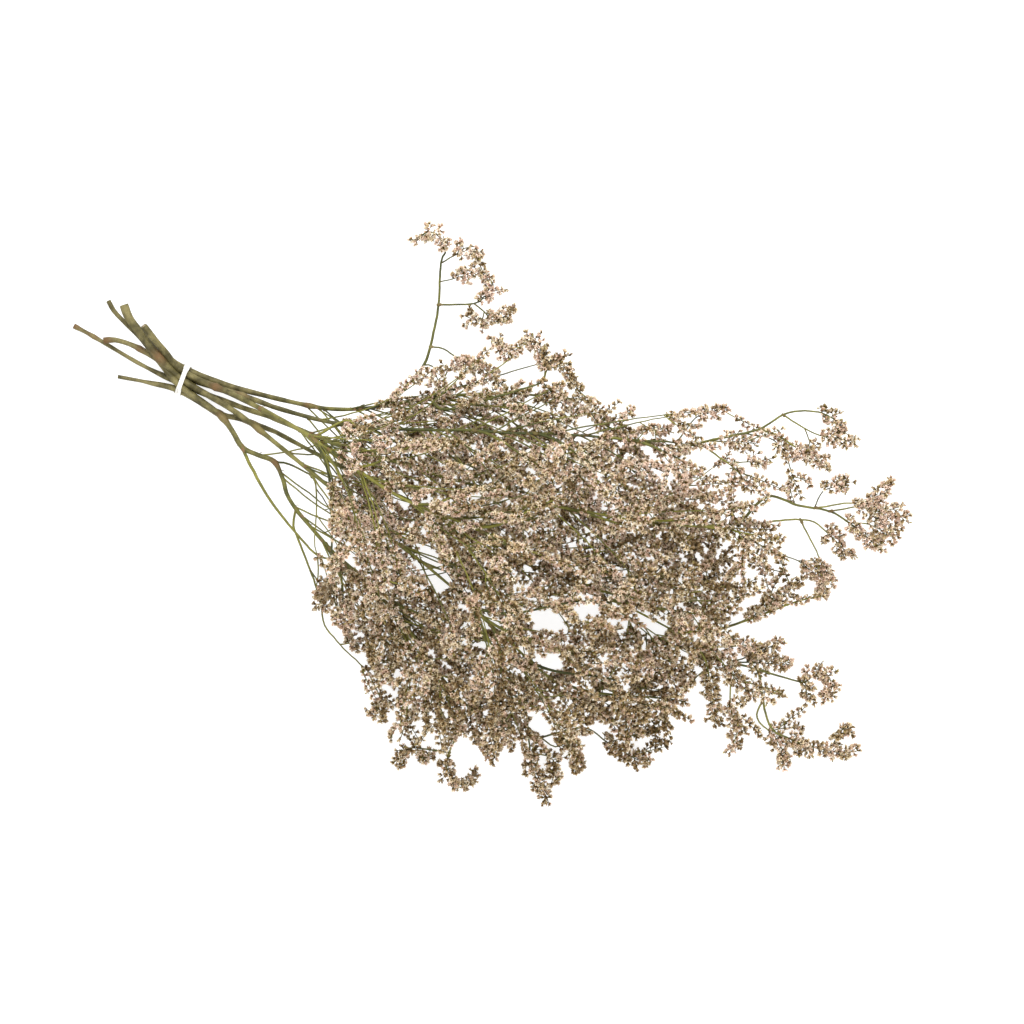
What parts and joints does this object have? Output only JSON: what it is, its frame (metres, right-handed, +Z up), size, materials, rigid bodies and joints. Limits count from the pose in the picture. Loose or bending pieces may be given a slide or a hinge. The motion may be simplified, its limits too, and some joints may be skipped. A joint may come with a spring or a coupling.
{
  "type": "dried flower bunch",
  "caption": "Tied bunch of dried statice lying on its side: bare branching stems held by an elastic band, opening into a wide airy mass of small papery flowers.",
  "frame": {"origin": "on the table, under the middle of the bunch's footprint", "axes": "+X along the bunch from the cut ends to the flowers, +Y across it, +Z up from the table it lies on"},
  "size_m": [0.665, 0.3944, 0.191],
  "materials": {
    "dried_plant": "papery, matte, pinkish cream flowers on olive stems",
    "elastic": "matte white"
  },
  "bodies": {
    "root": {"elastic_band": "elastic", "spray_upper": "dried_plant", "spray_upper_right": "dried_plant", "spray_right": "dried_plant", "spray_lower_right": "dried_plant", "spray_lower": "dried_plant", "spray_left": "dried_plant", "spray_top": "dried_plant"}
  },
  "joints": []
}
